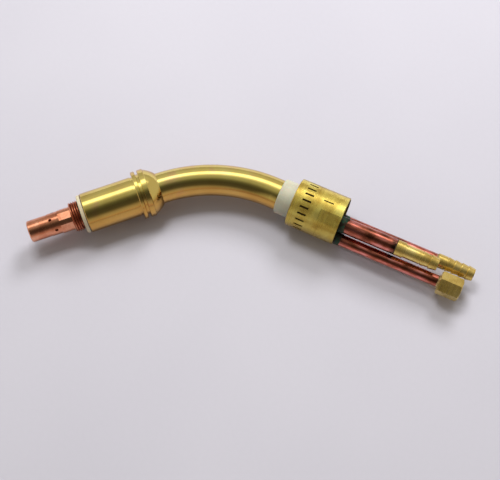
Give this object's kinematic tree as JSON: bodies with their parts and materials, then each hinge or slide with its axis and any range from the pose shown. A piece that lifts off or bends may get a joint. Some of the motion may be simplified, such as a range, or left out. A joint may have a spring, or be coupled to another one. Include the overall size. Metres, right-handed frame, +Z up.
{
  "type": "mig torch neck",
  "caption": "Swan neck of a water-cooled MIG welding torch: copper tip adaptor, brass nozzle seat, bent brass tube, slotted block and copper tail tubes with hose fittings.",
  "frame": {"origin": "centre of the connection block's front face, where the handle's seat begins", "axes": "+X along the block and the tail tubes to the hose end, the bend lies in the XY plane and turns the front towards -X -Y, +Z up as the neck lies on a table"},
  "size_m": [0.2138, 0.0868, 0.025],
  "materials": {
    "copper_turned": "turned bare copper, pinkish",
    "copper_tube": "drawn copper, darkened red by brazing heat",
    "brass_polished": "polished brass",
    "brass_turned": "turned brass with fine tool marks",
    "brass_fitting": "turned brass, slightly dull",
    "insulator_cream": "cream insulating laminate",
    "insulator_milky": "milky white plastic",
    "insulator_sleeve": "thin white plastic sleeve"
  },
  "bodies": {
    "root": {"tip_adaptor": "copper_turned", "cooling_head": "copper_turned", "water_jacket": "brass_turned", "front_insulator": "insulator_cream", "nozzle_seat": "brass_polished", "neck_tube": "brass_polished", "neck_insulation": "insulator_sleeve", "wire_tube": "copper_tube", "supply_tube": "copper_tube", "return_tube": "copper_tube", "rear_bush": "insulator_milky", "connection_block": "brass_turned", "supply_tail": "copper_tube", "wire_tail": "copper_tube", "return_tail": "copper_tube", "supply_nipple": "brass_fitting", "wire_nipple": "brass_fitting", "return_coupling": "brass_fitting"}
  },
  "joints": []
}
